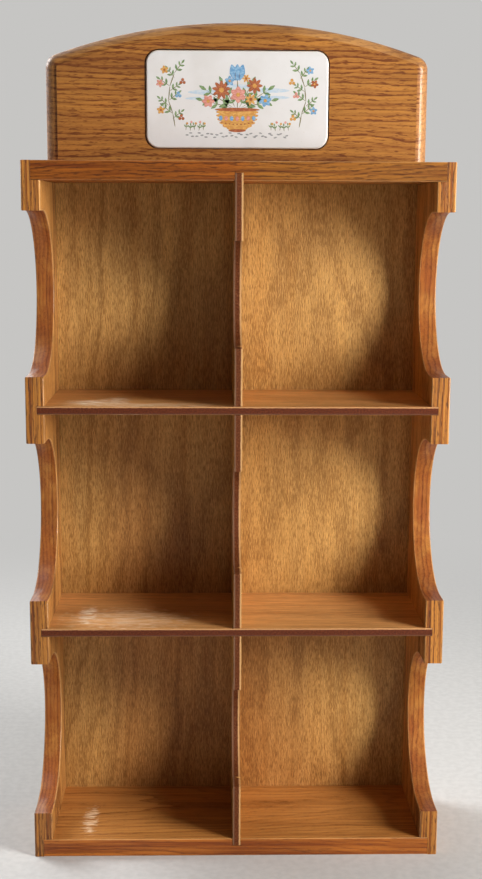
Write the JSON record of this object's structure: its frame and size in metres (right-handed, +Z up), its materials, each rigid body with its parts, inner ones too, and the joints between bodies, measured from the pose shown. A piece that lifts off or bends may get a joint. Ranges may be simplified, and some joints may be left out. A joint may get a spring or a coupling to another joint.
{
  "type": "mug rack",
  "caption": "Oak mug rack that stands or hangs: open bays behind scooped sides, crossed ply shelves and divider, and an arched crest board with a set-in tile.",
  "frame": {"origin": "middle of the bottom board's underside, where the rack stands", "axes": "+Z up, +Y towards the wall, +X to the right as the rack is seen from its open front"},
  "size_m": [0.2858, 0.098, 0.5842],
  "materials": {
    "oak_case": "stained oak, satin varnish",
    "oak_crest": "stained oak, satin varnish",
    "plywood": "stained plywood, satin varnish",
    "glazed_tile": "glazed ceramic, opaque",
    "dowel_wood": "bare hardwood",
    "steel": "bright wire and strip"
  },
  "bodies": {
    "root": {"left_side": "oak_case", "right_side": "oak_case", "top_board": "oak_case", "bottom_board": "oak_case", "crest_board": "oak_crest", "upper_shelf": "plywood", "lower_shelf": "plywood", "center_divider": "plywood", "back_panel": "plywood", "tile": "glazed_tile", "left_crest_dowel": "dowel_wood", "right_crest_dowel": "dowel_wood", "left_hanger": "steel", "right_hanger": "steel", "left_hanger_nail_1": "steel", "left_hanger_nail_2": "steel", "right_hanger_nail_1": "steel", "right_hanger_nail_2": "steel", "left_case_nail_1": "steel", "left_case_nail_2": "steel", "left_case_nail_3": "steel", "left_case_nail_4": "steel", "right_case_nail_1": "steel", "right_case_nail_2": "steel", "right_case_nail_3": "steel", "right_case_nail_4": "steel", "back_brad_1": "steel", "back_brad_2": "steel", "back_brad_3": "steel", "back_brad_4": "steel", "back_brad_5": "steel", "back_brad_6": "steel", "back_brad_7": "steel", "back_brad_8": "steel", "back_brad_9": "steel", "back_brad_10": "steel", "back_brad_11": "steel", "back_brad_12": "steel"}
  },
  "joints": []
}
